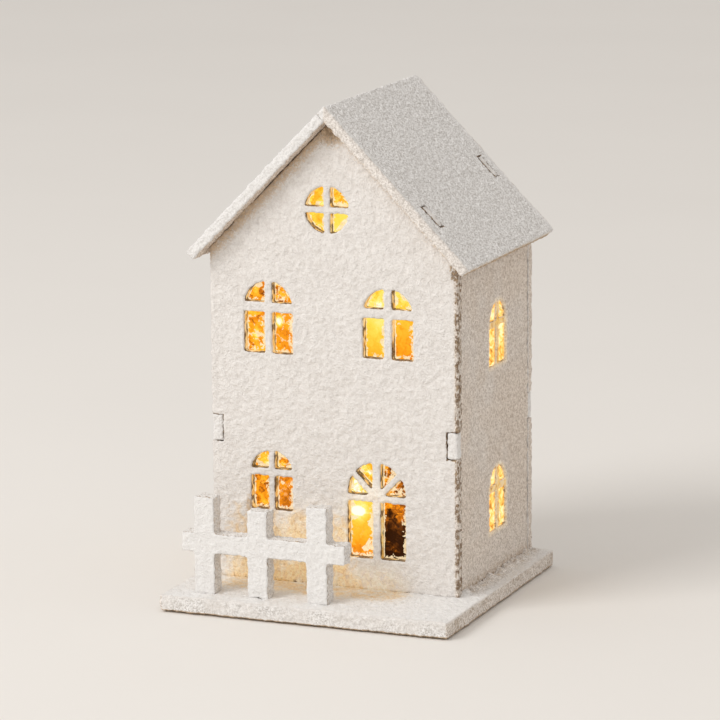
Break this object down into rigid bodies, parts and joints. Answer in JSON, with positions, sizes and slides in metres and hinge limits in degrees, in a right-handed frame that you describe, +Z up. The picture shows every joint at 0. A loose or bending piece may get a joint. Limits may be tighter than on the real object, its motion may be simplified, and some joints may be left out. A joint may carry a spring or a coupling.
{
  "type": "lit village house",
  "caption": "Tall gabled village house of slotted boards on a square base, with arched amber windows, a piece of fence and a battery light set into the base.",
  "frame": {"origin": "centre of the object's box in X and Y, at the underside of the foot pads in Z", "axes": "+Z is up, +X is to the right when facing the front wall, +Y goes from the front wall to the back"},
  "size_m": [0.146, 0.1536, 0.2406],
  "materials": {
    "flocked_board": "coated all over with a pebbly white flock",
    "amber_film": "crinkled amber film, lit from behind",
    "felt": "thin felt",
    "lamp_drop": "clear drop over a lit chip",
    "spring_steel": "plated",
    "black_plastic": "fine matt grain",
    "white_plastic": "satin",
    "cell_jacket": "plain shrink sleeve on steel",
    "copper_lead": "lacquered copper wire"
  },
  "bodies": {
    "house": {"base_plate": "flocked_board", "front_wall": "flocked_board", "rear_wall": "flocked_board", "left_wall": "flocked_board", "right_wall": "flocked_board", "roof_left": "flocked_board", "roof_right": "flocked_board", "fence": "flocked_board", "film_front_door": "amber_film", "film_front_lower_left": "amber_film", "film_front_round": "amber_film", "film_front_upper_left": "amber_film", "film_front_upper_right": "amber_film", "film_left_lower": "amber_film", "film_left_upper": "amber_film", "film_rear_lower_left": "amber_film", "film_rear_lower_right": "amber_film", "film_rear_round": "amber_film", "film_rear_upper_left": "amber_film", "film_rear_upper_right": "amber_film", "film_right_lower": "amber_film", "film_right_upper": "amber_film", "foot_pad_1": "felt", "foot_pad_2": "felt", "foot_pad_3": "felt", "foot_pad_4": "felt", "lamp_1": "lamp_drop", "lamp_2": "lamp_drop", "lamp_3": "lamp_drop", "lamp_4": "lamp_drop", "lamp_5": "lamp_drop", "lamp_6": "lamp_drop", "bridge_contact": "spring_steel", "negative_contact": "spring_steel", "positive_contact": "spring_steel", "spring_1": "spring_steel", "spring_2": "spring_steel", "battery_box": "black_plastic", "switch_body": "white_plastic", "cell_1": "cell_jacket", "cell_2": "cell_jacket", "lamp_lead": "copper_lead"},
    "cover": {"battery_cover": "black_plastic"},
    "slider": {"switch_slider": "black_plastic"}
  },
  "joints": [
    {"name": "battery_cover_hinge", "type": "hinge", "parent": "house", "child": "cover", "pos_m": [-0.0322, 0.02025, 0.0024], "axis": [0, 1, 0], "range_deg": [0, 75]},
    {"name": "switch_slide", "type": "slide", "parent": "house", "child": "slider", "axis": [0, -1, 0], "range_m": [0, 0.003]}
  ]
}
